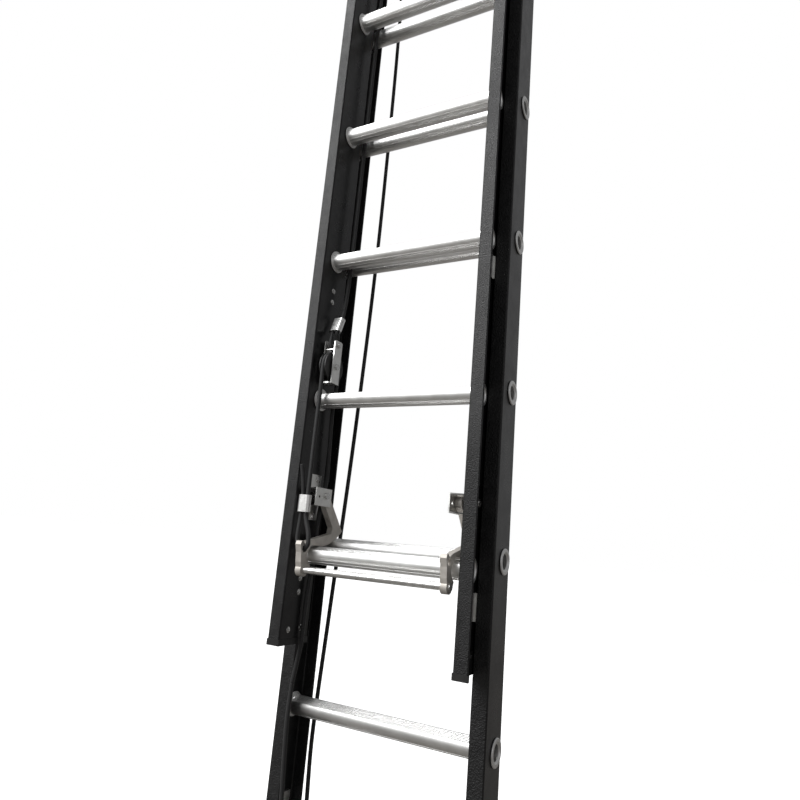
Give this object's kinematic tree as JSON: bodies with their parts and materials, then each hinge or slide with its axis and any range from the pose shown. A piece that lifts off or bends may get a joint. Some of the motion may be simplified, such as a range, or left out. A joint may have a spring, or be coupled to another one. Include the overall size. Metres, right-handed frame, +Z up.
{
  "type": "extension ladder",
  "caption": "Two-section extension ladder with fibreglass rails, D-shaped aluminium rungs, swinging rung locks and a rope hoist.",
  "frame": {"origin": "on the floor, under the middle of the closed ladder's box", "axes": "+Z up along the rails, -Y towards the climber, +X to the climber's right"},
  "size_m": [0.448, 0.1752, 2.866],
  "materials": {
    "fibreglass": "gloss",
    "rung_aluminium": "satin",
    "plate_metal": "satin",
    "fastener_steel": "satin",
    "ferrule_aluminium": "satin",
    "bar_aluminium": "satin",
    "cast_metal": "matte",
    "black_plastic": "satin",
    "pad_rubber": "matte",
    "rope_fibre": "matte"
  },
  "bodies": {
    "base": {"base_rail_left": "fibreglass", "base_rail_right": "fibreglass", "base_rung_1": "rung_aluminium", "base_rung_2": "rung_aluminium", "base_rung_3": "rung_aluminium", "base_rung_4": "rung_aluminium", "base_rung_5": "rung_aluminium", "base_rung_6": "rung_aluminium", "base_rung_7": "rung_aluminium", "base_rung_8": "rung_aluminium", "foot_bracket_left": "plate_metal", "foot_bracket_right": "plate_metal", "foot_rivets": "fastener_steel", "top_pulley_bracket": "plate_metal", "top_pulley_axle": "fastener_steel", "rope_main": "rope_fibre", "rope_hoist": "rope_fibre", "rope_trip": "rope_fibre"},
    "foot_left": {"shoe_left": "plate_metal", "shoe_pad_left": "pad_rubber", "shoe_bolt_left": "fastener_steel"},
    "foot_right": {"shoe_right": "plate_metal", "shoe_pad_right": "pad_rubber", "shoe_bolt_right": "fastener_steel"},
    "fly": {"fly_rail_left": "fibreglass", "fly_rail_right": "fibreglass", "fly_rung_1": "rung_aluminium", "fly_rung_2": "rung_aluminium", "fly_rung_3": "rung_aluminium", "fly_rung_4": "rung_aluminium", "fly_rung_5": "rung_aluminium", "fly_rung_6": "rung_aluminium", "fly_rung_7": "rung_aluminium", "fly_rung_8": "rung_aluminium", "bottom_cap_left": "black_plastic", "bottom_cap_right": "black_plastic", "top_cap_left": "black_plastic", "top_cap_right": "black_plastic", "guide_upper_left": "plate_metal", "guide_upper_right": "plate_metal", "guide_lower_left": "plate_metal", "guide_lower_right": "plate_metal", "lock_bracket_left": "plate_metal", "lock_bracket_right": "plate_metal", "fly_rivets": "fastener_steel", "lock_pivots": "fastener_steel", "block_strap": "plate_metal", "block_axle": "fastener_steel", "block_pin": "fastener_steel", "rope_ferrule_upper": "ferrule_aluminium", "rope_ferrule_lower": "ferrule_aluminium", "rope_eye": "rope_fibre", "rope_lock_leg": "rope_fibre", "rope_lock_loop": "rope_fibre"},
    "lock": {"lock_left": "cast_metal", "lock_right": "cast_metal", "trip_bar": "bar_aluminium"},
    "hoist_sheave": {"block_sheave": "black_plastic"},
    "top_sheave": {"top_pulley_sheave": "black_plastic"}
  },
  "joints": [
    {"name": "fly_slide", "type": "slide", "parent": "base", "child": "fly", "axis": [0, 0, 1], "range_m": [0, 1.3], "deforming": ["rope_hoist", "rope_trip"]},
    {"name": "lock_swing", "type": "hinge", "parent": "fly", "child": "lock", "pos_m": [0, -0.02662, 0.699], "axis": [1, 0, 0], "range_deg": [-30, 0], "deforming": ["rope_lock_loop"]},
    {"name": "hoist_sheave_spin", "type": "hinge", "parent": "fly", "child": "hoist_sheave", "pos_m": [-0.153, -0.03862, 0.959], "axis": [1, 0, 0], "continuous": true},
    {"name": "top_sheave_spin", "type": "hinge", "parent": "base", "child": "top_sheave", "pos_m": [-0.153, 0.03367, 2.3676], "axis": [1, 0, 0], "continuous": true},
    {"name": "foot_left_swivel", "type": "hinge", "parent": "base", "child": "foot_left", "pos_m": [-0.209, 0.02538, 0.032], "axis": [1, 0, 0], "range_deg": [0, 55]},
    {"name": "foot_right_swivel", "type": "hinge", "parent": "base", "child": "foot_right", "pos_m": [0.209, 0.02538, 0.032], "axis": [1, 0, 0], "range_deg": [0, 55]}
  ],
  "couplings": [
    {"joint": "top_sheave_spin", "follows": "fly_slide", "rad_per_m": -29.412}
  ]
}
